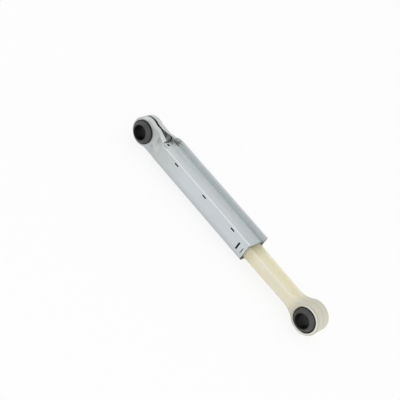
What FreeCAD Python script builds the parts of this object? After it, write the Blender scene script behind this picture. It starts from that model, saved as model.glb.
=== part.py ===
"""Washing machine shock absorber: a folded steel housing with a forked end, a nylon rod that slides
in its mouth against two friction pads, and a rubber bush at each end. Millimetres.

Frame: the origin is the centre of the bush in the housing, X runs along the rod to its eye, Y is the
direction of both fixing pins and Z is up, square to the recessed plate of the housing.
"""
import FreeCAD, Part
import math
import os

V = FreeCAD.Vector

# The two fixing points.
EYE_DISTANCE = 218.0        # housing bush centre to rod eye centre, rod half out
PIN_BORE_RADIUS = 6.5       # bore of both bushes, for a 13 mm pin
BUSH_HALF_LENGTH = 11.4
BUSH_HEAD_RADIUS = 11.0     # rim of the head, and the whole bush in the rod's eye
BUSH_BODY_RADIUS = 9.2      # between the two ears
BUSH_NECK_RADIUS = 8.2      # through the hole in the sheet
BUSH_MOUTH_RADIUS = 7.7     # outer edge of the ring round the bore
BUSH_RIM = 0.9              # thickness of the rim that lies on an ear
BUSH_STEP = 0.6             # step from the rim in to the cone

# Folded sheet housing.
SHEET = 1.0
BEND_RADIUS = 1.6           # outside radius of the bends
PLATE_BEND = 2.5            # hollow radius between the plate and the lip
TUBE_HALF_WIDTH = 11.2      # outside, to the front and back walls
TUBE_HALF_HEIGHT = 8.0      # outside, web below and recessed plate above
TUBE_START = 28.5
TUBE_END = 143.7            # mouth, at the front wall
MOUTH_STEP = 1.1            # web and back wall past the front wall at the mouth
FRONT_RISE = 2.05           # top edge of the front wall above the plate
LIP_RISE = 5.6              # top of the folded lip at the back above the plate
LIP_WIDTH = 3.3             # outside width of the open fold
LIP_START_RISE = 4.4        # start of the lip above the plate
LIP_RAMP = 1.2              # length of the slanted start of the lip
TONGUE_LENGTH = 5.2         # plate past the start of the tube, at the front
TONGUE_REACH = 8.5          # and at the back
TONGUE_FRONT = 6.6          # front edge of the plate's end, from the middle
TONGUE_BACK = 6.9           # back edge
TONGUE_STEP = 2.5           # where its end starts to slant, behind the middle
TONGUE_TIP = 1.3            # width of its tip
SEAM_GAP = 0.2              # between the sheet's own edges where they meet
TAB_COUNT = 3
TAB_FIRST = 18.8            # centre of the first tab past the start of the tube
TAB_PITCH = 38.0
TAB_LENGTH = 4.0
TAB_SINK = 0.8              # tab ends below the outer face of the front wall
RELIEF_RADIUS = 1.3         # holes in the plate's end and at the start of the lip
RELIEF_SIDE = 2.2           # hole in the plate's end, in front of the middle
RELIEF_BACK = 2.9           # and past the start of the tube
RELIEF_LENGTH = 2.0         # slot at the start of the lip, between the middles of its round ends

# Forked end of the housing.
FORK_HALF_WIDTH = 7.1       # outside
EAR_RADIUS = 13.3           # round head of an ear, about the bush
EAR_TOP = 12.2              # straight top of an ear above the axis
EAR_BOTTOM = 11.0           # straight underside below the axis
EAR_BLEND = 6.0             # hollow from the head into the straight edges
EAR_CORNER = 2.5            # rounding where the underside starts to slant
JOGGLE_LENGTH = 10.0        # slope from the ear out to the tube's wall
JOGGLE_FLAT = 2.0           # level wall between the joggle and the tube
JOGGLE_BEND = 7.0
RIM_BACK = 4.5              # end of the turned-in rims before the tube, on top
RIM_GAP_HALF = 1.3          # half the gap between the rims
RIM_FULL_END = 11.0         # rims are full depth up to here
RIM_LAST_DEPTH = 4.5        # and this deep at their end

# Lock of the guide in the mouth.
LOCK_BACK = 8.2             # middle of the lock slot behind the mouth
LOCK_WIDTH = 1.8
LOCK_HEIGHT = 7.4
LOCK_RAISE = 0.6            # middle of the slot above the axis
CREASE_BACK = 2.8           # pressed line behind the mouth
CREASE_WIDTH = 0.8
CREASE_DEPTH = 0.35
CREASE_HEIGHT = 6.0

# Nylon rod.
EYE_RADIUS = 13.7
EYE_HALF_LENGTH = 8.2
BUSH_SINK = 0.1             # bush's rim below the face of the eye
ROD_EDGE = 1.0              # bevel of the long edges and round the eye
TAPER_BLEND = 300.0         # rounding at both ends of the taper
FLANGE = 2.9                # least width of the two flanges beside the channel
CHANNEL_DEPTH = 2.0
CHANNEL_RUN = 2.5           # channel's end past the start of the flare
FLARE_RADIUS = 20.0
HEAD_START = 78.0           # inner end of the rod
HEAD_LENGTH = 6.0

# Guide and pads inside the mouth.
GUIDE_BACK = 3.2            # guide's outer end behind the mouth
GUIDE_LENGTH = 15.5
GUIDE_PLAY = 0.1            # guide to the walls
GUIDE_SIDE = 1.0            # guide's wall beside the rod
GUIDE_COVER = 1.45          # guide's wall above and below the rod
SLIDE_PLAY = 0.25           # guide to the rod, and head to the walls
PAD_LENGTH = 9.0
PAD_SIDE = 0.85             # pad's edge inside the rod's side
PAD_BACK = 3.0              # pad's end behind the guide's outer end
PAD_PLAY = 0.04             # pad to the rod
LUG_PLAY = 0.15
LUG_SINK = 0.45             # lug ends below the outer face of the wall

# Values that follow from the ones above.
INNER_HALF_WIDTH = TUBE_HALF_WIDTH - SHEET
INNER_HALF_HEIGHT = TUBE_HALF_HEIGHT - SHEET
FRONT_EDGE = TUBE_HALF_HEIGHT + FRONT_RISE
LIP_TOP = TUBE_HALF_HEIGHT + LIP_RISE
LIP_START = TUBE_HALF_HEIGHT + LIP_START_RISE
LIP_FACE = TUBE_HALF_WIDTH - LIP_WIDTH
MID_WALL = TUBE_HALF_WIDTH - SHEET / 2
MID_BEND = BEND_RADIUS - SHEET / 2
ROD_HALF_WIDTH = INNER_HALF_WIDTH - GUIDE_PLAY - GUIDE_SIDE - SLIDE_PLAY
ROD_HALF_HEIGHT = INNER_HALF_HEIGHT - GUIDE_PLAY - GUIDE_COVER - SLIDE_PLAY
PAD_HALF_WIDTH = ROD_HALF_WIDTH - PAD_SIDE
GUIDE_END = TUBE_END - GUIDE_BACK
GUIDE_START = GUIDE_END - GUIDE_LENGTH
LOCK_X = TUBE_END - LOCK_BACK
PAD_END = GUIDE_END - PAD_BACK
PAD_START = PAD_END - PAD_LENGTH
JOGGLE_END = TUBE_START - JOGGLE_FLAT
JOGGLE_START = JOGGLE_END - JOGGLE_LENGTH
RIM_END = TUBE_START - RIM_BACK
FAR = 4 * TUBE_HALF_WIDTH   # reach of the cutting solids


def box(x0, x1, y0, y1, z0, z1):
    """Block between two corners."""
    return Part.makeBox(x1 - x0, y1 - y0, z1 - z0, V(x0, y0, z0))


def polygon(points):
    """Face in the XY plane inside a closed polygon."""
    corners = [V(u, v, 0) for u, v in points]
    return Part.Face(Part.makePolygon(corners + corners[:1]))


def upright(face):
    """Turn a face from the XY plane into the XZ plane."""
    turned = face.copy()
    turned.rotate(V(0, 0, 0), V(1, 0, 0), 90)
    return turned


def crosswise(face):
    """Turn a face from the XY plane into the YZ plane, its X becoming Y."""
    turned = face.copy()
    turned.rotate(V(0, 0, 0), V(1, 1, 1), 120)
    return turned


def sheet_side(points, radii, side):
    """Edges of one side of a bent sheet, offset sideways from its middle line."""
    edges = []
    first = (points[1] - points[0]).normalize()
    here = points[0] + V(-first.y, first.x, 0) * side
    for before, corner, after, radius in zip(points, points[1:], points[2:], radii):
        way_in = (corner - before).normalize()
        way_out = (after - corner).normalize()
        turn = math.copysign(1, way_in.cross(way_out).z)
        run = radius * math.tan(way_in.getAngle(way_out) / 2)
        left_in = V(-way_in.y, way_in.x, 0)
        left_out = V(-way_out.y, way_out.x, 0)
        centre = corner - way_in * run + left_in * radius * turn
        bend_start = corner - way_in * run + left_in * side
        bend_end = corner + way_out * run + left_out * side
        bend_middle = centre + (corner - centre).normalize() * (radius - side * turn)
        if (bend_start - here).Length > 1e-6:
            edges.append(Part.makeLine(here, bend_start))
        edges.append(Part.Arc(bend_start, bend_middle, bend_end).toShape())
        here = bend_end
    last = (points[-1] - points[-2]).normalize()
    edges.append(Part.makeLine(here, points[-1] + V(-last.y, last.x, 0) * side))
    return edges


def bent_sheet(points, radii):
    """Face of the sheet's thickness along a bent middle line in the XY plane."""
    line = [V(u, v, 0) for u, v in points]
    left = sheet_side(line, radii, SHEET / 2)
    right = sheet_side(line, radii, -SHEET / 2)
    caps = []
    for end in (0, -1):
        caps.append(Part.makeLine(left[end].Vertexes[end].Point, right[end].Vertexes[end].Point))
    return Part.Face(Part.Wire(Part.sortEdges(left + right + caps)[0]))


def blend(radius, level, hollow):
    """Hollow arc from a round end about the origin into a straight edge at a level beside the axis.

    Gives the touching point on the round end, a point on the arc and its end on the edge.
    """
    run = math.sqrt((radius + hollow) ** 2 - (level + hollow) ** 2)
    centre = V(run, level + hollow, 0)
    touch = centre * (radius / (radius + hollow))
    end = V(run, level, 0)
    middle = centre + ((touch - centre) + (end - centre)).normalize() * hollow
    return touch, middle, end


def below(points):
    """Points mirrored to the underside."""
    return [V(p.x, -p.y, 0) for p in points]


def ear_outline(inset, edge):
    """Ear seen from the side: a round head at the bush, straight edges, then slants to the tube's wall."""
    radius = EAR_RADIUS - inset
    hollow = EAR_BLEND + inset
    touch, middle, end = blend(radius, EAR_TOP - inset, hollow)
    low_touch, low_middle, low_end = below(blend(radius, EAR_BOTTOM - inset, hollow))
    tube_bottom = V(TUBE_START, -TUBE_HALF_HEIGHT + inset, 0)
    corners = [V(TUBE_START, edge, 0), V(JOGGLE_END, edge, 0), V(RIM_END, end.y, 0), end]
    edges = Part.makePolygon(corners).Edges
    edges.append(Part.Arc(end, middle, touch).toShape())
    edges.append(Part.Arc(touch, V(-radius, 0, 0), low_touch).toShape())
    edges.append(Part.Arc(low_touch, low_middle, low_end).toShape())
    level_start = tube_bottom - V(SHEET, 0, 0)
    underside = [low_end, V(JOGGLE_START, low_end.y, 0), level_start, tube_bottom]
    edges += sheet_side(underside, [EAR_CORNER, EAR_CORNER], 0)
    edges.append(Part.makeLine(tube_bottom, corners[0]))
    return Part.Face(Part.Wire(edges))


def ear_prism(inset, edge):
    """Ear outline as a solid through the whole width."""
    prism = upright(ear_outline(inset, edge)).extrude(V(0, 2 * FAR, 0))
    prism.translate(V(0, -FAR, 0))
    return prism


def ear_plan():
    """Middle line of the front ear seen from above, from its tip to the tube."""
    ear_y = -FORK_HALF_WIDTH + SHEET / 2
    return [(-2 * EAR_RADIUS, ear_y), (JOGGLE_START, ear_y), (JOGGLE_END, -MID_WALL), (TUBE_START, -MID_WALL)]


def standing(face):
    """Solid of a face in the XY plane, through the whole height."""
    solid = face.extrude(V(0, 0, 2 * FAR))
    solid.translate(V(0, 0, -FAR))
    return solid


def turned_in_rim(edge):
    """Rim of the front ear, deep round the bush and shallower towards the tube."""
    outer = sheet_side([V(u, v, 0) for u, v in ear_plan()], [JOGGLE_BEND, JOGGLE_BEND], -SHEET / 2)
    slope = (TUBE_HALF_WIDTH - FORK_HALF_WIDTH) / JOGGLE_LENGTH
    face_y = -FORK_HALF_WIDTH - slope * (RIM_END - JOGGLE_START)
    start = outer[0].Vertexes[0].Point
    end = outer[-1].Vertexes[-1].Point
    shallow = V(RIM_END, face_y + RIM_LAST_DEPTH, 0)
    full = V(RIM_FULL_END, -RIM_GAP_HALF, 0)
    free = [end, V(TUBE_START, shallow.y, 0), shallow, full, V(start.x, -RIM_GAP_HALF, 0), start]
    face = Part.Face(Part.Wire(Part.sortEdges(outer + Part.makePolygon(free).Edges)[0]))
    return standing(face).common(ear_prism(0, edge).cut(ear_prism(SHEET, edge - SHEET)))


def rim_edges(ear, edge):
    """Outer edges of the ear that the bend into the rim rounds off."""
    outline = ear_outline(0, edge).OuterWire
    chosen = []
    for line in ear.Edges:
        middle = line.valueAt((line.FirstParameter + line.LastParameter) / 2)
        outside = V(middle.x, middle.y - SHEET / 20, middle.z)
        across = line.BoundBox.XLength < 1e-6
        off_outline = outline.distToShape(Part.Vertex(middle.x, middle.z, 0))[0]
        if not across and off_outline < 1e-3 and not ear.isInside(outside, 1e-6, True):
            chosen.append(line)
    return chosen


def front_ear(edge):
    """One ear of the fork with its joggle, its turned-in rim and the hole for the bush."""
    plate = standing(bent_sheet(ear_plan(), [JOGGLE_BEND, JOGGLE_BEND])).common(ear_prism(0, edge))
    rimmed = box(-FAR, RIM_END, -FAR, FAR, 0, FAR).fuse(box(-FAR, TUBE_START, -FAR, FAR, -FAR, 0))
    cup = plate.fuse(turned_in_rim(edge)).common(rimmed).removeSplitter()
    cup = cup.makeFillet(BEND_RADIUS, rim_edges(cup, edge))
    neck = plate.cut(rimmed)
    hole = Part.makeCylinder(BUSH_NECK_RADIUS, 2 * FAR, V(0, -FAR, 0), V(0, 1, 0))
    return cup.fuse(neck).removeSplitter().cut(hole)


def tab_centres():
    """Places of the tabs that lock the plate in the front wall."""
    return [TUBE_START + TAB_FIRST + TAB_PITCH * n for n in range(TAB_COUNT)]


def folded_tube():
    """Tube folded from one strip: front wall, web, back wall, open lip and recessed plate."""
    mid_height = TUBE_HALF_HEIGHT - SHEET / 2
    lip_mid = LIP_FACE + SHEET / 2
    lip_bend = (LIP_WIDTH - SHEET) / 2
    plate_edge = -INNER_HALF_WIDTH + SEAM_GAP
    points = [(-MID_WALL, FRONT_EDGE), (-MID_WALL, -mid_height), (MID_WALL, -mid_height)]
    points += [(MID_WALL, LIP_TOP - SHEET / 2), (lip_mid, LIP_TOP - SHEET / 2)]
    points += [(lip_mid, mid_height), (plate_edge, mid_height)]
    section = crosswise(bent_sheet(points, [MID_BEND, MID_BEND, lip_bend, lip_bend, PLATE_BEND + SHEET / 2]))
    section.translate(V(TUBE_START, 0, 0))
    tube = section.extrude(V(TUBE_END + MOUTH_STEP - TUBE_START, 0, 0))
    short_side = box(TUBE_END, TUBE_END + 2 * MOUTH_STEP, -FAR, LIP_FACE, -INNER_HALF_HEIGHT, FAR)
    ramp = [(TUBE_START, LIP_START), (TUBE_START + LIP_RAMP, LIP_TOP + 1e-3), (TUBE_START, LIP_TOP + 1e-3)]
    corner = upright(polygon(ramp)).extrude(V(0, FAR, 0))
    return tube.cut([corner, short_side])


def plate_tabs():
    """Tabs on the plate's edge and its slanted end between the ears."""
    z0 = INNER_HALF_HEIGHT
    z1 = TUBE_HALF_HEIGHT
    root = -INNER_HALF_WIDTH + 2 * SHEET
    solids = []
    for x in tab_centres():
        solids.append(box(x - TAB_LENGTH / 2, x + TAB_LENGTH / 2, -TUBE_HALF_WIDTH + TAB_SINK, root, z0, z1))
    root_x = TUBE_START + SHEET
    end = TUBE_START - TONGUE_LENGTH
    tip = TUBE_START - TONGUE_REACH
    outline = [(root_x, -TONGUE_FRONT), (end, -TONGUE_FRONT), (end, TONGUE_STEP)]
    outline += [(tip, TONGUE_BACK - TONGUE_TIP), (tip, TONGUE_BACK), (root_x, TONGUE_BACK)]
    tongue = polygon(outline).extrude(V(0, 0, SHEET))
    tongue.translate(V(0, 0, z0))
    solids.append(tongue)
    return solids


def wall_openings():
    """Slits for the tabs, lock slots of the guide and the pressed lines."""
    cuts = []
    for x in tab_centres():
        reach = TAB_LENGTH / 2 + SEAM_GAP
        cuts.append(box(x - reach, x + reach, -FAR, -INNER_HALF_WIDTH + SEAM_GAP / 2,
                        INNER_HALF_HEIGHT - SEAM_GAP, TUBE_HALF_HEIGHT + SEAM_GAP))
    low = LOCK_RAISE - LOCK_HEIGHT / 2
    cuts.append(box(LOCK_X - LOCK_WIDTH / 2, LOCK_X + LOCK_WIDTH / 2, -FAR, FAR, low, low + LOCK_HEIGHT))
    crease_x = TUBE_END - CREASE_BACK
    floor = TUBE_HALF_WIDTH - CREASE_DEPTH
    for y0, y1 in ((-FAR, -floor), (floor, FAR)):
        cuts.append(box(crease_x - CREASE_WIDTH / 2, crease_x + CREASE_WIDTH / 2, y0, y1,
                        -CREASE_HEIGHT / 2, CREASE_HEIGHT / 2))
    return cuts


def relief_holes():
    """Openings in the plate: a hole in its end and a slot where the lip starts."""
    level = INNER_HALF_HEIGHT - SHEET
    end_hole = V(TUBE_START - RELIEF_BACK, -RELIEF_SIDE, level)
    slot_end = V(TUBE_START + RELIEF_RADIUS / 2, LIP_FACE, level)
    slot_start = slot_end - V(RELIEF_LENGTH, 0, 0)
    holes = [Part.makeCylinder(RELIEF_RADIUS, 3 * SHEET, place) for place in (end_hole, slot_end, slot_start)]
    holes.append(box(slot_start.x, slot_end.x, LIP_FACE - RELIEF_RADIUS, LIP_FACE + RELIEF_RADIUS,
                     level, level + 3 * SHEET))
    return holes


def steel_housing():
    """Housing with its forked end, all of one folded sheet."""
    front = front_ear(FRONT_EDGE)
    back = front_ear(LIP_START).mirror(V(0, 0, 0), V(0, 1, 0))
    housing = folded_tube().fuse([front, back]).removeSplitter()
    housing = housing.cut(wall_openings())
    housing = housing.fuse(plate_tabs()).removeSplitter()
    return housing.cut(relief_holes())


def bush(rim_face, grip):
    """Rubber bush with a cone at both ends; below the rim's face its outside follows the grip's points."""
    half = [(PIN_BORE_RADIUS, 0), (PIN_BORE_RADIUS, BUSH_HALF_LENGTH), (BUSH_MOUTH_RADIUS, BUSH_HALF_LENGTH)]
    half += [(BUSH_HEAD_RADIUS - BUSH_STEP, rim_face), (BUSH_HEAD_RADIUS, rim_face)]
    upper = polygon(half + grip).revolve(V(0, 0, 0), V(0, 1, 0), 360)
    lower = upper.mirror(V(0, 0, 0), V(0, 1, 0))
    return upper.fuse(lower).removeSplitter()


def housing_bush():
    """Bush in the fork, with a groove for the sheet of each ear."""
    ear = FORK_HALF_WIDTH
    grip = [(BUSH_HEAD_RADIUS, ear), (BUSH_NECK_RADIUS, ear), (BUSH_NECK_RADIUS, ear - SHEET)]
    grip += [(BUSH_BODY_RADIUS, ear - SHEET), (BUSH_BODY_RADIUS, 0)]
    return bush(ear + BUSH_RIM, grip)


def rod_bush():
    """Plain bush pressed into the rod's eye."""
    piece = bush(EYE_HALF_LENGTH - BUSH_SINK, [(BUSH_HEAD_RADIUS, 0)])
    piece.translate(V(EYE_DISTANCE, 0, 0))
    return piece


def rod_outline():
    """Rod and eye seen from the side, the rod flaring into the eye, and the start of the flare."""
    flare = blend(EYE_RADIUS, ROD_HALF_HEIGHT, FLARE_RADIUS)
    touch, middle, start = [V(EYE_DISTANCE - p.x, p.y, 0) for p in flare]
    inner = V(HEAD_START, ROD_HALF_HEIGHT, 0)
    low_touch, low_middle, low_start, low_inner = below([touch, middle, start, inner])
    edges = [Part.makeLine(inner, start), Part.Arc(start, middle, touch).toShape()]
    edges.append(Part.Arc(touch, V(EYE_DISTANCE + EYE_RADIUS, 0, 0), low_touch).toShape())
    edges.append(Part.Arc(low_touch, low_middle, low_start).toShape())
    edges.append(Part.makeLine(low_start, low_inner))
    edges.append(Part.makeLine(low_inner, inner))
    return Part.Face(Part.Wire(edges)), start.x


def rod_plan(flare_x):
    """Rod seen from above: even inside the housing, narrowing outside it to the width of the eye."""
    inner = V(HEAD_START, ROD_HALF_WIDTH, 0)
    taper = [inner, V(TUBE_END, ROD_HALF_WIDTH, 0), V(flare_x, EYE_HALF_LENGTH, 0)]
    taper.append(V(EYE_DISTANCE + 2 * EYE_RADIUS, EYE_HALF_LENGTH, 0))
    radii = [TAPER_BLEND, TAPER_BLEND]
    edges = sheet_side(taper, radii, 0) + sheet_side(below(taper), radii, 0)
    for corner in (taper[0], taper[-1]):
        edges.append(Part.makeLine(corner, below([corner])[0]))
    return Part.Face(Part.Wire(Part.sortEdges(edges)[0]))


def rod_channel(end):
    """Hollow channel along the top of the rod, run out by a ball of its own radius."""
    half = EYE_HALF_LENGTH - FLANGE
    radius = (half ** 2 + CHANNEL_DEPTH ** 2) / (2 * CHANNEL_DEPTH)
    start = V(HEAD_START, 0, ROD_HALF_HEIGHT - CHANNEL_DEPTH + radius)
    length = end - half - HEAD_START
    hollow = Part.makeCylinder(radius, length, start, V(1, 0, 0))
    ball = Part.makeSphere(radius, start + V(length, 0, 0))
    return hollow.fuse(ball)


def damper_rod():
    """Rod with a channel along its top and underside, its eye, and the head inside the housing."""
    outline, flare_x = rod_outline()
    rod = upright(outline).extrude(V(0, 2 * FAR, 0))
    rod.translate(V(0, -FAR, 0))
    rod = rod.common(standing(rod_plan(flare_x)))
    rod = rod.makeChamfer(ROD_EDGE, [e for e in rod.Edges if e.BoundBox.XLength > 1e-6])
    channel = rod_channel(flare_x + CHANNEL_RUN)
    rod = rod.cut([channel, channel.mirror(V(0, 0, 0), V(0, 0, 1))])
    head_half = INNER_HALF_WIDTH - SLIDE_PLAY
    head_height = INNER_HALF_HEIGHT - SLIDE_PLAY
    head = box(HEAD_START, HEAD_START + HEAD_LENGTH, -head_half, head_half, -head_height, head_height)
    corners = [e for e in head.Edges if e.BoundBox.XLength > 1e-6]
    rod = rod.fuse(head.makeChamfer(BEND_RADIUS, corners)).removeSplitter()
    bore = Part.makeCylinder(BUSH_HEAD_RADIUS, 2 * FAR, V(EYE_DISTANCE, -FAR, 0), V(0, 1, 0))
    return rod.cut(bore)


def guide_ring():
    """Guide in the mouth: a ring round the rod with a lug in each lock slot and a window for each pad."""
    outer_y = INNER_HALF_WIDTH - GUIDE_PLAY
    outer_z = INNER_HALF_HEIGHT - GUIDE_PLAY
    ring = box(GUIDE_START, GUIDE_END, -outer_y, outer_y, -outer_z, outer_z)
    ring = ring.makeChamfer(BEND_RADIUS, [e for e in ring.Edges if e.BoundBox.XLength > 1e-6])
    hole_y = ROD_HALF_WIDTH + SLIDE_PLAY
    hole_z = ROD_HALF_HEIGHT + SLIDE_PLAY
    ring = ring.cut(box(GUIDE_START - 1, GUIDE_END + 1, -hole_y, hole_y, -hole_z, hole_z))
    lug_half = LOCK_WIDTH / 2 - LUG_PLAY
    lug_low = LOCK_RAISE - LOCK_HEIGHT / 2 + LUG_PLAY
    lug_high = LOCK_RAISE + LOCK_HEIGHT / 2 - LUG_PLAY
    reach = TUBE_HALF_WIDTH - LUG_SINK
    for y0, y1 in ((-reach, -hole_y), (hole_y, reach)):
        ring = ring.fuse(box(LOCK_X - lug_half, LOCK_X + lug_half, y0, y1, lug_low, lug_high))
    window = box(PAD_START, PAD_END, -PAD_HALF_WIDTH, PAD_HALF_WIDTH, -FAR, FAR)
    return ring.cut(window).removeSplitter()


def friction_pad(side):
    """Felt pad in a window of the guide, between the housing and the flanges of the rod."""
    near = ROD_HALF_HEIGHT + PAD_PLAY
    pad = box(PAD_START, PAD_END, -PAD_HALF_WIDTH, PAD_HALF_WIDTH, near, INNER_HALF_HEIGHT)
    return pad if side > 0 else pad.mirror(V(0, 0, 0), V(0, 0, 1))


def write(node, shape):
    """Save one piece as its own file."""
    shape.exportStep("parts/" + node + ".step")


os.makedirs("parts", exist_ok=True)
write("steel_housing", steel_housing())
write("housing_bush", housing_bush())
write("guide_ring", guide_ring())
write("friction_pad_top", friction_pad(1))
write("friction_pad_bottom", friction_pad(-1))
write("damper_rod", damper_rod())
write("rod_bush", rod_bush())
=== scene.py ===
"""Looks of the washing machine shock absorber: finishes of the steel housing, the nylon rod, the rubber
bushes and the inner guide and pads, on a pale studio floor. Metres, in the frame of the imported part.
"""

import math

import bpy
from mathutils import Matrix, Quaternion, Vector

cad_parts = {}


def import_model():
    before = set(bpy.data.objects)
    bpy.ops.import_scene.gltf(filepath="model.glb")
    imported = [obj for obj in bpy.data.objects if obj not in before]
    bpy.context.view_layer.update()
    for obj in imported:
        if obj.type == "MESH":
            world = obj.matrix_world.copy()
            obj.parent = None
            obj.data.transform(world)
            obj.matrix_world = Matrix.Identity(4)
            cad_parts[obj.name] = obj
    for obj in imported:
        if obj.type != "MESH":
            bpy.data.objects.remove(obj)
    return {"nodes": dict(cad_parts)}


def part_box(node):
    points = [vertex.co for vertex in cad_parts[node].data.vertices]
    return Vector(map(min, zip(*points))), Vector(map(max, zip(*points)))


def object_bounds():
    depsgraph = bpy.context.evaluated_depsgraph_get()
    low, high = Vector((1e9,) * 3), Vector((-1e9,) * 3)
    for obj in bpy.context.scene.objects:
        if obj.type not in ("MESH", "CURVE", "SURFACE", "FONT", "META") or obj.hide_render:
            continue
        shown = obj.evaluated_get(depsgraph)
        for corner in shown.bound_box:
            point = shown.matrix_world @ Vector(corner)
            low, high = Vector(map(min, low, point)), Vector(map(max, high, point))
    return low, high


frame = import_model()
CAD_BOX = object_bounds()
NODES = frame["nodes"]
MM = 0.001

# Camera, as the photograph was taken.
CAMERA_PLACE = Vector((0.3582, -0.6383, 0.5005))
CAMERA_TARGET = Vector((0.0828, -0.0088, 0.0))
CAMERA_ROLL = math.radians(34.84)
CAMERA_LENS = 90.06
CAMERA_SENSOR = 36.0

# Studio: a white tent, dimmer above the camera, with a soft lamp at each side.
FLOOR_HALF = 12.0
FLOOR_COLOUR = (0.9, 0.9, 0.9, 1)
FLOOR_SHADOW_SHARE = 0.15
WHITE = (1, 1, 1, 1)
TENT_LEVEL = 1.0
TENT_DIM_LEVEL = 0.55
TENT_DIM_SIDE = Vector((-0.32, -0.62, 0.72))
TENT_DIM_CORE = 0.93
TENT_DIM_EDGE = 0.55
STUDIO_CENTRE = Vector((0.11, 0, 0))
LEFT_LAMP = Vector((-0.9, -0.25, 0.6))
LEFT_LAMP_SIZE = 0.9
LEFT_LAMP_LEVEL = 0.8
RIGHT_LAMP = Vector((0.9, -0.6, 0.55))
RIGHT_LAMP_SIZE = 0.8
RIGHT_LAMP_LEVEL = 1.2

# Places on the housing that its finish follows.
HOUSING_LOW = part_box("steel_housing")[0]
PLATE_LEVEL = 8.0 * MM
FRONT_EDGE = 10.05 * MM
LIP_FACE = 7.9 * MM
TUBE_START = 28.5 * MM
TAB_FIRST = 47.3 * MM
TAB_PITCH = 38.0 * MM
TAB_COUNT = 3
TAB_REACH = 2.2 * MM
SHEET = 1.0 * MM
EAR_END = 16.5 * MM
CREASE = 140.9 * MM
CREASE_REACH = Vector((0.8, 0.35, 6.0)) * MM
MOUTH = 143.7 * MM
PLATE_SHADE = 40.0 * MM
# Spots of painted shade and painted highlight on the fork's joggle.
EAR_SHADE_SPOT = Vector((14.4, 0.0, -3.0)) * MM
EAR_SHADE_SPOT_REACH = 2.6 * MM
JOGGLE_HIGHLIGHT = Vector((20.0, 0.0, 1.5)) * MM
JOGGLE_HIGHLIGHT_REACH = 7.0 * MM
PLATE_TIP = Vector((19.0, 6.3, 8.6)) * MM
PLATE_TIP_SIDE = PLATE_TIP + Vector((1.6, -0.4, -1.0)) * MM
PLATE_TIP_REACH = Vector((0.8, 1.0, 0.5)) * MM
PLATE_TIP_SLANT = 0.7
PLATE_NOTCH_SHADE = Vector((22.0, 3.7, 7.7)) * MM
PLATE_NOTCH_SHADE_REACH = Vector((0.7, 0.7, 0.6)) * MM
PLATE_HOLE = Vector((25.6, -2.2, 8.0)) * MM
PLATE_HOLE_REACH = Vector((1.35, 1.35, 0.5)) * MM
LIP_SLOT = Vector((28.1, 7.9, 8.0)) * MM
LIP_SLOT_REACH = Vector((2.35, 1.35, 0.5)) * MM

# Places on the rod and the bushes that their finish follows.
EYE_CENTRE = 218.0 * MM
EYE_RADIUS = 13.7 * MM
EYE_HALF_LENGTH = 8.2 * MM
ROD_EDGE = 1.0 * MM
CHANNEL_HALF = 5.3 * MM
ROD_HALF_HEIGHT = 5.2 * MM
ROD_SHADE = 14.0 * MM
PIN_BORE_RADIUS = 6.5 * MM
BUSH_RADIUS = 11.0 * MM
BUSH_MOUTH_RADIUS = 7.7 * MM
BUSH_CONE_RADIUS = 10.4 * MM


def linear(red, green, blue):
    """Colour for a shader socket from the usual 0 to 255 values."""
    channels = []
    for value in (red, green, blue):
        share = value / 255
        channels.append(share / 12.92 if share <= 0.04045 else ((share + 0.055) / 1.055) ** 2.4)
    return (*channels, 1)


# Colours of the zinc-coated sheet outside, with painted light and shade.
ZINC_DARK = linear(200, 206, 209)
ZINC_LIGHT = linear(211, 216, 219)
ZINC_FORK = linear(190, 194, 192)
ZINC_UNDERSIDE_SHADE = linear(190, 195, 197)
ZINC_PLATE = linear(204, 210, 212)
ZINC_PLATE_SHADE_AT_MOUTH = linear(196, 202, 204)
ZINC_LIP_LIGHT = linear(227, 233, 234)
ZINC_HOLLOW_SHADE = linear(192, 200, 201)
ZINC_HOLLOW_SHADE_AT_MOUTH = linear(182, 190, 191)
ZINC_END_SHADE = linear(170, 176, 178)
ZINC_JOGGLE_HIGHLIGHT = linear(206, 210, 208)
ZINC_EAR_SHADE = linear(170, 174, 172)
ZINC_CUT_EDGE_HIGHLIGHT = linear(232, 236, 238)
ZINC_CREASE_SHADE = linear(96, 101, 102)
CREST_LIGHT_SHARE = 0.14

# Colours of the sheet inside and in its gaps: painted light and painted shade.
ZINC_FORK_INSIDE_LIGHT = linear(236, 242, 240)
ZINC_TUBE_SHADE = linear(52, 56, 55)
ZINC_MOUTH_LIGHT = linear(196, 202, 201)
ZINC_GAP_SHADE = linear(40, 44, 43)
ZINC_SLIT_SHADE = linear(30, 32, 32)

# Colours of the bushes, the rod, the guide and the pads, with some painted light and shade.
RUBBER_DARK = linear(42, 42, 43)
RUBBER_BLOOM_AND_LIT = linear(80, 80, 81)
RUBBER_RIM = linear(28, 27, 25)
RUBBER_BORE_SHADE = linear(16, 16, 16)
NYLON_DARK = linear(226, 220, 192)
NYLON_LIGHT = linear(235, 230, 207)
NYLON_CHANNEL = linear(226, 220, 189)
NYLON_RIDGE = linear(231, 225, 205)
NYLON_GREASE_AND_SHADE = linear(210, 204, 170)
NYLON_EYE = linear(200, 198, 180)
NYLON_PARTING = linear(188, 186, 166)
NYLON_BEVEL_SHADE = linear(184, 182, 166)
NYLON_FACE_INNER = linear(206, 204, 190)
NYLON_FACE_OUTER = linear(234, 233, 226)
NYLON_SEAT_SHADOW = linear(54, 52, 44)
PLASTIC_DARK = linear(10, 10, 11)
PLASTIC_LIGHT = linear(20, 20, 21)
PLASTIC_MOUTH_LIGHT = linear(138, 138, 134)
FELT_DARK = linear(70, 64, 54)
FELT_LIGHT = linear(120, 112, 98)


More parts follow.
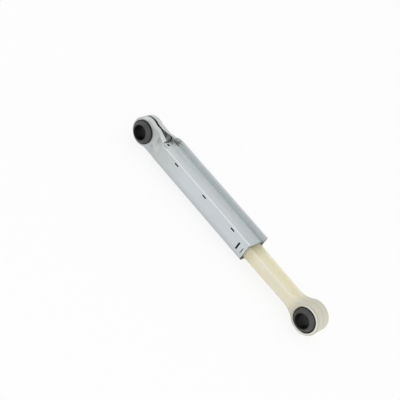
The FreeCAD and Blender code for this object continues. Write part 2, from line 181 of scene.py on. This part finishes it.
class Look:
    """Short way to wire the nodes of one material."""

    def __init__(self, name):
        self.material = bpy.data.materials.new(name)
        self.material.use_nodes = True
        self.nodes = self.material.node_tree.nodes
        self.links = self.material.node_tree.links
        self.surface = self.nodes["Principled BSDF"]
        coordinates = self.nodes.new("ShaderNodeTexCoord")
        self.place = coordinates.outputs["Object"]
        self.facing = coordinates.outputs["Normal"]
        self.split = self.nodes.new("ShaderNodeSeparateXYZ")
        self.links.new(self.place, self.split.inputs[0])

    def join(self, value, socket):
        """Link an output, or set a constant, on a socket."""
        if isinstance(value, bpy.types.NodeSocket):
            self.links.new(value, socket)
        else:
            socket.default_value = value

    def math(self, operation, first, second=0.0, clamp=False):
        node = self.nodes.new("ShaderNodeMath")
        node.operation = operation
        node.use_clamp = clamp
        self.join(first, node.inputs[0])
        self.join(second, node.inputs[1])
        return node.outputs[0]

    def axis(self, name):
        """One coordinate of the point on the part."""
        return self.split.outputs[name]

    def inward(self):
        """Distance from the long axis of the part, times how much the surface faces it, from -1 to 1."""
        across = self.nodes.new("ShaderNodeVectorMath")
        across.operation = "MULTIPLY"
        self.links.new(self.place, across.inputs[0])
        across.inputs[1].default_value = (0, -1, -1)
        share = self.nodes.new("ShaderNodeVectorMath")
        share.operation = "DOT_PRODUCT"
        self.links.new(across.outputs["Vector"], share.inputs[0])
        self.links.new(self.facing, share.inputs[1])
        return share.outputs["Value"]

    def towards(self, direction):
        """How much the surface faces a direction, from -1 to 1."""
        share = self.nodes.new("ShaderNodeVectorMath")
        share.operation = "DOT_PRODUCT"
        self.links.new(self.facing, share.inputs[0])
        share.inputs[1].default_value = direction
        return share.outputs["Value"]

    def distance(self, x, z=0.0):
        """Distance from a line across the part, at this place along it and this height."""
        along = self.math("SUBTRACT", self.axis("X"), x)
        up = self.math("SUBTRACT", self.axis("Z"), z)
        squares = self.math("ADD", self.math("MULTIPLY", along, along), self.math("MULTIPLY", up, up))
        return self.math("SQRT", squares)

    def near(self, centre, reach, soft):
        """1 within this reach of a point along each axis, falling off over a soft edge."""
        masks = []
        for name, middle, half in zip("XYZ", centre, reach):
            masks.append(self.band(self.axis(name), middle - half, middle + half, soft))
        return self.both(*masks)

    def ramp(self, value, low, high):
        """0 below low and 1 above high, smooth between; the other way round if low is above high."""
        node = self.nodes.new("ShaderNodeMapRange")
        node.interpolation_type = "SMOOTHSTEP"
        self.join(value, node.inputs["Value"])
        node.inputs["From Min"].default_value = min(low, high)
        node.inputs["From Max"].default_value = max(low, high)
        node.inputs["To Min"].default_value = 0.0 if low < high else 1.0
        node.inputs["To Max"].default_value = 1.0 if low < high else 0.0
        return node.outputs["Result"]

    def band(self, value, low, high, soft):
        """1 between low and high, falling off over a soft edge outside."""
        return self.both(self.ramp(value, low - soft, low), self.ramp(value, high + soft, high))

    def both(self, *masks):
        """Product of several masks."""
        result = masks[0]
        for mask in masks[1:]:
            result = self.math("MULTIPLY", result, mask)
        return result

    def either(self, *masks):
        """Highest of several masks."""
        result = masks[0]
        for mask in masks[1:]:
            result = self.math("MAXIMUM", result, mask)
        return result

    def blend(self, first, second, share):
        """Value between two values, with this share of the second."""
        rest = self.math("MULTIPLY", first, 1 - share)
        return self.math("ADD", rest, self.math("MULTIPLY", second, share))

    def stretched(self, scale):
        """Place on the part scaled along each axis."""
        node = self.nodes.new("ShaderNodeMapping")
        self.links.new(self.place, node.inputs["Vector"])
        node.inputs["Scale"].default_value = scale
        return node.outputs["Vector"]

    def noise(self, scale, detail=2.0, vector=None):
        """Soft noise from about 0 to 1."""
        node = self.nodes.new("ShaderNodeTexNoise")
        self.links.new(vector or self.place, node.inputs["Vector"])
        node.inputs["Scale"].default_value = scale
        node.inputs["Detail"].default_value = detail
        return node.outputs["Fac"]

    def cells(self, scale):
        """One random value for each crystal-like cell."""
        node = self.nodes.new("ShaderNodeTexVoronoi")
        self.links.new(self.place, node.inputs["Vector"])
        node.inputs["Scale"].default_value = scale
        split = self.nodes.new("ShaderNodeSeparateColor")
        self.links.new(node.outputs["Color"], split.inputs[0])
        return split.outputs[0]

    def mix(self, share, first, second):
        """Colour between two colours."""
        node = self.nodes.new("ShaderNodeMix")
        node.data_type = "RGBA"
        self.join(share, node.inputs["Factor"])
        self.join(first, node.inputs["A"])
        self.join(second, node.inputs["B"])
        return node.outputs["Result"]

    def range(self, value, low, high):
        """A value from 0 to 1 spread between two levels."""
        node = self.nodes.new("ShaderNodeMapRange")
        self.join(value, node.inputs["Value"])
        node.inputs["To Min"].default_value = low
        node.inputs["To Max"].default_value = high
        return node.outputs["Result"]

    def bump(self, height, depth, rounding=0.0):
        """Relief of a height map, at most this deep in metres, over edges rounded off by this much."""
        node = self.nodes.new("ShaderNodeBump")
        if rounding:
            soft = self.nodes.new("ShaderNodeBevel")
            soft.samples = 8
            soft.inputs["Radius"].default_value = rounding
            self.links.new(soft.outputs["Normal"], node.inputs["Normal"])
        node.inputs["Strength"].default_value = 1.0
        node.inputs["Distance"].default_value = depth
        self.join(height, node.inputs["Height"])
        self.links.new(node.outputs["Normal"], self.surface.inputs["Normal"])

    def set(self, **sockets):
        """Values or links for the surface's own sockets, by name with underscores for spaces."""
        for name, value in sockets.items():
            self.join(value, self.surface.inputs[name.replace("_", " ")])


def inside_mask(look):
    """Inner faces of the sheet, which face the long axis."""
    return look.ramp(look.inward(), 2 * SHEET, 3 * SHEET)


def end_mask(look):
    """Faces that look along the part, to the rod's eye."""
    return look.ramp(look.towards((1, 0, 0)), 0.6, 0.9)


def tube_mask(look):
    """The tube, without the fork."""
    return look.ramp(look.axis("X"), TUBE_START, TUBE_START + 2 * SHEET)


def plate_mask(look):
    """The recessed plate, away from the fold."""
    level = look.band(look.axis("Z"), PLATE_LEVEL - 0.2 * SHEET, PLATE_LEVEL + 0.2 * SHEET, 0.2 * SHEET)
    flat = look.ramp(look.towards((0, 0, 1)), 0.7, 0.9)
    return look.both(level, flat, look.ramp(look.axis("Y"), 4 * SHEET, -4 * SHEET))


def lip_light_mask(look):
    """The lip's face, where painted light makes the zinc brighter."""
    strip = look.band(look.axis("Y"), LIP_FACE - 3 * SHEET, LIP_FACE, 4 * SHEET)
    up = look.band(look.axis("Z"), PLATE_LEVEL, PLATE_LEVEL + 4 * SHEET, SHEET)
    return look.both(strip, up, tube_mask(look))


def hollow_shade_mask(look):
    """Painted shade in the hollow between the plate and the lip."""
    strip = look.band(look.axis("Y"), LIP_FACE - 1.4 * SHEET, LIP_FACE - 0.5 * SHEET, SHEET)
    up = look.band(look.axis("Z"), PLATE_LEVEL, PLATE_LEVEL + 1.2 * SHEET, SHEET)
    return look.both(strip, up, tube_mask(look))


def tube_shade_mask(look):
    """Inside of the tube below the plate, and of the fork below the plate's end, where shade is painted."""
    below_plate = look.ramp(look.axis("Z"), PLATE_LEVEL + 0.3 * SHEET, PLATE_LEVEL - 0.4 * SHEET)
    tube = look.both(below_plate, look.ramp(look.axis("X"), TUBE_START - 2 * SHEET, TUBE_START))
    low_down = look.ramp(look.axis("Z"), 5 * SHEET, 2 * SHEET)
    fork = look.both(low_down, look.ramp(look.axis("X"), EAR_END + SHEET, EAR_END + 3 * SHEET))
    return look.both(inside_mask(look), look.either(tube, fork))


def crease_shade_mask(look):
    """Painted shade in the pressed line beside the mouth, below the outer face of the front wall."""
    centre = Vector((CREASE, HOUSING_LOW.y + 0.7 * CREASE_REACH.y, 0))
    return look.near(centre, CREASE_REACH / 2, 0.1 * SHEET)


def relief_shade_mask(look):
    """Painted shade on the sides of the hole and the slot in the plate, below its top."""
    below = Vector((0, 0, 0.6 * SHEET))
    hole = look.near(PLATE_HOLE - below, PLATE_HOLE_REACH, 0.05 * SHEET)
    slot = look.near(LIP_SLOT - below, LIP_SLOT_REACH, 0.05 * SHEET)
    return look.either(hole, slot)


def painted_spot_mask(look, centre, reach):
    """A soft round patch on the front side of the fork, for the painted highlight and shade there."""
    mark = look.ramp(look.distance(centre.x, centre.z), reach, 0.2 * reach)
    return look.both(mark, look.ramp(look.axis("Y"), 0.0, -2 * SHEET))


def fork_inside_mask(look):
    """Inside of the fork, lightened with painted light for the light that reaches it through its open top.
    """
    return look.both(inside_mask(look), look.ramp(look.axis("X"), TUBE_START + SHEET, TUBE_START - SHEET))


def tip_shade_mask(look):
    """Painted shadow in the gap between the tip of the plate's end and the ear, and a painted dark spot for
    a notch on its slanted edge.
    """
    past_tip = look.math("SUBTRACT", look.axis("X"), PLATE_TIP.x)
    above_tip = look.math("SUBTRACT", look.axis("Z"), PLATE_TIP.z)
    slanted = look.math("ADD", past_tip, look.math("MULTIPLY", above_tip, PLATE_TIP_SLANT))
    gap = look.band(slanted, -0.4 * SHEET, 0.4 * SHEET, 0.3 * SHEET)
    level = look.band(look.axis("Z"), PLATE_TIP.z - SHEET, PLATE_TIP.z + 1.4 * SHEET, 0.3 * SHEET)
    back = look.ramp(look.axis("Y"), PLATE_TIP.y - SHEET, PLATE_TIP.y - 0.5 * SHEET)
    ear = look.both(gap, level, back, inside_mask(look))
    tip = look.near(PLATE_TIP_SIDE, PLATE_TIP_REACH, 0.2 * SHEET)
    mark = look.near(PLATE_NOTCH_SHADE, PLATE_NOTCH_SHADE_REACH, 0.3 * SHEET)
    return look.either(ear, tip, mark)


def slit_shade_mask(look):
    """Painted shade in the narrow slits of the tabs, below the outer face of the front wall."""
    inside = look.ramp(look.axis("Y"), HOUSING_LOW.y + 0.05 * SHEET, HOUSING_LOW.y + 0.15 * SHEET)
    wall = look.ramp(look.axis("Y"), HOUSING_LOW.y + 1.2 * SHEET, HOUSING_LOW.y + 1.1 * SHEET)
    level = look.band(look.axis("Z"), PLATE_LEVEL - 1.3 * SHEET, PLATE_LEVEL + 0.3 * SHEET, 0.1 * SHEET)
    along = 0.0
    for tab in range(TAB_COUNT):
        middle = TAB_FIRST + tab * TAB_PITCH
        slit = look.band(look.axis("X"), middle - TAB_REACH, middle + TAB_REACH, 0.1 * SHEET)
        along = look.math("ADD", slit, along)
    return look.both(inside, wall, level, along)


def cut_edge_highlight_mask(look):
    """The bare cut edge along the top of the front wall, lighter as bare steel and with a painted
    highlight.
    """
    front = look.ramp(look.axis("Y"), HOUSING_LOW.y + 1.3 * SHEET, HOUSING_LOW.y + 1.1 * SHEET)
    return look.both(front, look.band(look.axis("Z"), FRONT_EDGE - 0.1 * SHEET, FRONT_EDGE, 0.1 * SHEET))


def zinc_outside(look, crystals, cloud):
    """Colour of the sheet's outer faces: darker on the fork; painted shade below, in the hollow, on end
    faces, at the joggle's foot and towards the mouth; painted light on crests, lip and joggle; the cut edge
    bare and with a painted highlight.
    """
    colour = look.mix(look.blend(crystals, cloud, 0.8), ZINC_DARK, ZINC_LIGHT)
    colour = look.mix(look.ramp(look.axis("X"), 4 * EAR_END, 0.5 * EAR_END), colour, ZINC_FORK)
    # Painted shade: the sheet darkens towards the bottom, where the floor's shadow would show in it.
    colour = look.mix(look.ramp(look.axis("Z"), 0.0, -PLATE_LEVEL), colour, ZINC_UNDERSIDE_SHADE)
    # Painted light: the tops of the rims and the lip are mixed towards white.
    crest_light = look.ramp(look.axis("Z"), FRONT_EDGE + 0.6 * SHEET, FRONT_EDGE + 2 * SHEET)
    colour = look.mix(look.math("MULTIPLY", crest_light, CREST_LIGHT_SHARE), colour, WHITE)
    # Painted shade: the plate and the hollow darken towards the mouth.
    mouth_shade = look.ramp(look.axis("X"), MOUTH - PLATE_SHADE, MOUTH)
    colour = look.mix(plate_mask(look), colour, look.mix(mouth_shade, ZINC_PLATE, ZINC_PLATE_SHADE_AT_MOUTH))
    # Painted light on the lip's face.
    colour = look.mix(lip_light_mask(look), colour, ZINC_LIP_LIGHT)
    # Painted shade in the hollow between the plate and the lip.
    colour = look.mix(hollow_shade_mask(look), colour, look.mix(mouth_shade, ZINC_HOLLOW_SHADE, ZINC_HOLLOW_SHADE_AT_MOUTH))
    # Painted shade on the faces that look along the part, to the rod's eye.
    colour = look.mix(end_mask(look), colour, ZINC_END_SHADE)
    # Painted highlight on the joggle's slope.
    colour = look.mix(painted_spot_mask(look, JOGGLE_HIGHLIGHT, JOGGLE_HIGHLIGHT_REACH), colour, ZINC_JOGGLE_HIGHLIGHT)
    # Painted shade at the foot of the joggle, broken up by the cloud noise.
    ear_shade = look.both(painted_spot_mask(look, EAR_SHADE_SPOT, EAR_SHADE_SPOT_REACH), look.ramp(cloud, 0.3, 0.6))
    colour = look.mix(ear_shade, colour, ZINC_EAR_SHADE)
    # Bare cut edge with a painted highlight.
    return look.mix(cut_edge_highlight_mask(look), colour, ZINC_CUT_EDGE_HIGHLIGHT)


def zinc_inside(look, colour):
    """Colour of the sheet with painted light inside the fork and at the mouth, and painted shade in the
    tube, gaps, slits and pressed line.
    """
    # Painted light inside the fork.
    colour = look.mix(fork_inside_mask(look), colour, ZINC_FORK_INSIDE_LIGHT)
    # Painted shade inside the tube, turning to painted light near the mouth.
    mouth_light = look.ramp(look.axis("X"), MOUTH - 5 * SHEET, MOUTH - SHEET)
    colour = look.mix(tube_shade_mask(look), colour, look.mix(mouth_light, ZINC_TUBE_SHADE, ZINC_MOUTH_LIGHT))
    # Painted shade in the gaps at the plate's tip, the hole and the slot.
    colour = look.mix(look.either(tip_shade_mask(look), relief_shade_mask(look)), colour, ZINC_GAP_SHADE)
    # Painted shade in the tab slits.
    colour = look.mix(slit_shade_mask(look), colour, ZINC_SLIT_SHADE)
    # Painted shade in the pressed line.
    return look.mix(crease_shade_mask(look), colour, ZINC_CREASE_SHADE)


def galvanised_steel():
    """Zinc-coated sheet with faint crystals and rolling lines."""
    look = Look("galvanised_steel")
    crystals = look.cells(scale=300.0)
    cloud = look.noise(scale=45.0, detail=3.0)
    rolled = look.noise(scale=1.0, detail=2.0, vector=look.stretched((25.0, 1400.0, 1400.0)))
    look.set(Base_Color=zinc_inside(look, zinc_outside(look, crystals, cloud)), Metallic=0.9)
    look.set(Roughness=look.range(look.blend(crystals, cloud, 0.6), low=0.34, high=0.48))
    look.bump(look.math("ADD", rolled, look.math("MULTIPLY", crystals, 0.3)), depth=0.004 * MM)
    return look.material


def rubber():
    """Moulded rubber: dark, with a dusty bloom and fine grain, painted light on faces that look up and to
    the right, and painted shade in the bore.
    """
    look = Look("rubber")
    bloom = look.noise(scale=260.0, detail=4.0)
    grain = look.noise(scale=2600.0, detail=2.0)
    # Painted light on faces that look up and to the right, blended with the dusty bloom.
    lit_side = look.ramp(look.towards((0.5, 0, 0.87)), -0.5, 0.6)
    colour = look.mix(look.blend(lit_side, bloom, 0.4), RUBBER_DARK, RUBBER_BLOOM_AND_LIT)
    radius = look.math("MINIMUM", look.distance(0.0), look.distance(EYE_CENTRE))
    colour = look.mix(look.ramp(radius, BUSH_CONE_RADIUS - 0.4 * MM, BUSH_CONE_RADIUS), colour, RUBBER_RIM)
    # Painted shade in the bore.
    colour = look.mix(look.ramp(radius, BUSH_MOUTH_RADIUS, PIN_BORE_RADIUS), colour, RUBBER_BORE_SHADE)
    look.set(Base_Color=colour, Roughness=look.range(grain, low=0.36, high=0.5), Specular_IOR_Level=0.25)
    look.bump(grain, depth=0.02 * MM)
    return look.material


def channel_mask(look):
    """The channels along the top and the underside of the rod."""
    middle = look.band(look.axis("Y"), -0.6 * CHANNEL_HALF, 0.6 * CHANNEL_HALF, 0.4 * CHANNEL_HALF)
    height = look.math("ABSOLUTE", look.axis("Z"))
    return look.both(middle, look.ramp(height, 0.2 * ROD_HALF_HEIGHT, 0.5 * ROD_HALF_HEIGHT))


def ridge_mask(look):
    """The crests of the flanges beside the channels."""
    outer = look.ramp(look.math("ABSOLUTE", look.axis("Y")), CHANNEL_HALF, CHANNEL_HALF + ROD_EDGE)
    height = look.math("ABSOLUTE", look.axis("Z"))
    return look.both(outer, look.ramp(height, ROD_HALF_HEIGHT - 1.5 * ROD_EDGE, ROD_HALF_HEIGHT))


def nylon_rod(look, flow):
    """Colour of the rod: greener in the channels, paler on the crests, darker near the mouth with grease
    and painted shade.
    """
    colour = look.mix(flow, NYLON_DARK, NYLON_LIGHT)
    colour = look.mix(channel_mask(look), colour, NYLON_CHANNEL)
    colour = look.mix(ridge_mask(look), colour, NYLON_RIDGE)
    # Grease and painted shade of the housing near the mouth.
    return look.mix(look.ramp(look.axis("X"), MOUTH + ROD_SHADE, MOUTH), colour, NYLON_GREASE_AND_SHADE)


def nylon_eye(look, colour):
    """Colour of the rod with its eye added: greyer, with a parting line, painted shade on the outer bevel,
    a pale face and a painted shadow round the bush's seat.
    """
    side = look.math("ABSOLUTE", look.axis("Y"))
    radius = look.distance(EYE_CENTRE)
    eye = look.ramp(look.axis("X"), EYE_CENTRE - 1.6 * EYE_RADIUS, EYE_CENTRE - 0.6 * EYE_RADIUS)
    colour = look.mix(eye, colour, NYLON_EYE)
    parting = look.band(look.axis("Y"), -0.5 * ROD_EDGE, 0.0, 0.6 * ROD_EDGE)
    colour = look.mix(look.both(parting, eye), colour, NYLON_PARTING)
    outward = look.ramp(look.axis("X"), EYE_CENTRE - 0.7 * EYE_RADIUS, EYE_CENTRE)
    # Painted shade on the outer side of the bevel.
    bevel_shade = look.ramp(side, EYE_HALF_LENGTH - 1.3 * ROD_EDGE, EYE_HALF_LENGTH - 0.9 * ROD_EDGE)
    colour = look.mix(look.both(bevel_shade, outward), colour, NYLON_BEVEL_SHADE)
    face = look.ramp(side, EYE_HALF_LENGTH - 0.3 * ROD_EDGE, EYE_HALF_LENGTH - 0.1 * ROD_EDGE)
    ring = look.ramp(radius, EYE_RADIUS, EYE_RADIUS - 0.9 * ROD_EDGE)
    colour = look.mix(look.both(face, ring), colour, look.mix(outward, NYLON_FACE_INNER, NYLON_FACE_OUTER))
    # Painted shadow round the bush's seat, on its upper and outer side.
    seat_shadow = look.ramp(radius, BUSH_RADIUS + 0.7 * ROD_EDGE, BUSH_RADIUS + 0.4 * ROD_EDGE)
    beyond = look.math("ADD", look.math("SUBTRACT", look.axis("X"), EYE_CENTRE), look.axis("Z"))
    open_side = look.ramp(beyond, -0.6 * EYE_RADIUS, -0.1 * EYE_RADIUS)
    return look.mix(look.both(face, seat_shadow, open_side), colour, NYLON_SEAT_SHADOW)


def nylon():
    """Natural nylon: cream, a little translucent, with rounded edges."""
    look = Look("nylon")
    flow = look.noise(scale=1.0, detail=3.0, vector=look.stretched((40.0, 260.0, 260.0)))
    grain = look.noise(scale=1500.0, detail=2.0)
    colour = nylon_eye(look, nylon_rod(look, flow))
    look.set(Base_Color=colour, Roughness=look.range(grain, low=0.38, high=0.5))
    look.set(Subsurface_Weight=0.12, Subsurface_Radius=(1.0, 0.8, 0.45), Subsurface_Scale=1.5 * MM)
    look.bump(grain, depth=0.015 * MM, rounding=0.8 * MM)
    return look.material


def dark_plastic():
    """Black moulded guide, lighter grey on the end that faces the mouth as painted light."""
    look = Look("dark_plastic")
    grain = look.noise(scale=1800.0, detail=2.0)
    # Painted light on the end that faces the mouth.
    colour = look.mix(end_mask(look), look.mix(grain, PLASTIC_DARK, PLASTIC_LIGHT), PLASTIC_MOUTH_LIGHT)
    look.set(Base_Color=colour, Roughness=look.range(grain, low=0.5, high=0.65), Specular_IOR_Level=0.2)
    look.bump(grain, depth=0.02 * MM)
    return look.material


def felt():
    """Greased felt: short tangled fibres."""
    look = Look("felt")
    fibres = look.noise(scale=1.0, detail=5.0, vector=look.stretched((2200.0, 900.0, 1500.0)))
    look.set(Base_Color=look.mix(fibres, FELT_DARK, FELT_LIGHT), Roughness=0.9, Sheen_Weight=0.3)
    look.bump(fibres, depth=0.15 * MM)
    return look.material


def finish_nodes():
    """Give every piece its finish."""
    steel = galvanised_steel()
    dark = rubber()
    black = dark_plastic()
    pad = felt()
    cream = nylon()
    finishes = {
        "steel_housing": steel,
        "housing_bush": dark,
        "guide_ring": black,
        "friction_pad_top": pad,
        "friction_pad_bottom": pad,
        "damper_rod": cream,
        "rod_bush": dark,
    }
    for name, material in finishes.items():
        slots = NODES[name].data.materials
        slots.clear()
        slots.append(material)


def world():
    """White tent, dimmer above the camera, the same for the camera and for reflections."""
    scene_world = bpy.data.worlds.new("studio")
    bpy.context.scene.world = scene_world
    scene_world.use_nodes = True
    nodes = scene_world.node_tree.nodes
    links = scene_world.node_tree.links
    background = nodes["Background"]
    background.inputs["Color"].default_value = WHITE
    towards = nodes.new("ShaderNodeVectorMath")
    towards.operation = "DOT_PRODUCT"
    links.new(nodes.new("ShaderNodeTexCoord").outputs["Generated"], towards.inputs[0])
    towards.inputs[1].default_value = TENT_DIM_SIDE.normalized()
    level = nodes.new("ShaderNodeMapRange")
    level.interpolation_type = "SMOOTHSTEP"
    links.new(towards.outputs["Value"], level.inputs["Value"])
    level.inputs["From Min"].default_value = TENT_DIM_EDGE
    level.inputs["From Max"].default_value = TENT_DIM_CORE
    level.inputs["To Min"].default_value = TENT_LEVEL
    level.inputs["To Max"].default_value = TENT_DIM_LEVEL
    links.new(level.outputs["Result"], background.inputs["Strength"])


def floor():
    """Pale floor under the part; the camera and reflections see it white with a faint shadow."""
    mesh = bpy.data.meshes.new("floor")
    level = CAD_BOX[0].z
    corners = [(-1, -1), (1, -1), (1, 1), (-1, 1)]
    mesh.from_pydata([(x * FLOOR_HALF, y * FLOOR_HALF, level) for x, y in corners], [], [(0, 1, 2, 3)])
    plane = bpy.data.objects.new("floor", mesh)
    bpy.context.scene.collection.objects.link(plane)
    material = bpy.data.materials.new("floor")
    material.use_nodes = True
    nodes = material.node_tree.nodes
    links = material.node_tree.links
    nodes.remove(nodes["Principled BSDF"])
    matt = nodes.new("ShaderNodeBsdfDiffuse")
    matt.inputs["Color"].default_value = FLOOR_COLOUR
    glow = nodes.new("ShaderNodeEmission")
    glow.inputs["Color"].default_value = WHITE
    path = nodes.new("ShaderNodeLightPath")
    seen = path.outputs["Is Camera Ray"]
    for ray in ("Is Glossy Ray", "Is Transmission Ray"):
        either = nodes.new("ShaderNodeMath")
        either.operation = "MAXIMUM"
        links.new(seen, either.inputs[0])
        links.new(path.outputs[ray], either.inputs[1])
        seen = either.outputs[0]
    share = nodes.new("ShaderNodeMapRange")
    links.new(seen, share.inputs["Value"])
    share.inputs["To Min"].default_value = 0.0
    share.inputs["To Max"].default_value = 1 - FLOOR_SHADOW_SHARE
    mixed = nodes.new("ShaderNodeMixShader")
    links.new(share.outputs["Result"], mixed.inputs["Fac"])
    links.new(matt.outputs[0], mixed.inputs[1])
    links.new(glow.outputs[0], mixed.inputs[2])
    links.new(mixed.outputs[0], nodes["Material Output"].inputs["Surface"])
    mesh.materials.append(material)


def lamp(name, place, size, level):
    """Soft square lamp aimed at the middle of the part, this many times as bright as white."""
    light = bpy.data.lights.new(name, "AREA")
    light.shape = "SQUARE"
    light.size = size
    light.energy = level * math.pi * size ** 2
    holder = bpy.data.objects.new(name, light)
    bpy.context.scene.collection.objects.link(holder)
    holder.location = place
    holder.rotation_mode = "QUATERNION"
    holder.rotation_quaternion = (STUDIO_CENTRE - place).to_track_quat("-Z", "Y")


def camera():
    """Camera at the photograph's place, aim, roll and lens."""
    data = bpy.data.cameras.new("camera")
    data.lens = CAMERA_LENS
    data.sensor_width = CAMERA_SENSOR
    holder = bpy.data.objects.new("camera", data)
    bpy.context.scene.collection.objects.link(holder)
    holder.location = CAMERA_PLACE
    holder.rotation_mode = "QUATERNION"
    aim = (CAMERA_TARGET - CAMERA_PLACE).to_track_quat("-Z", "Y")
    holder.rotation_quaternion = aim @ Quaternion((0, 0, 1), CAMERA_ROLL)
    bpy.context.scene.camera = holder


finish_nodes()
world()
floor()
lamp("left", LEFT_LAMP, LEFT_LAMP_SIZE, LEFT_LAMP_LEVEL)
lamp("right", RIGHT_LAMP, RIGHT_LAMP_SIZE, RIGHT_LAMP_LEVEL)
camera()
bpy.context.scene.view_settings.view_transform = "Standard"
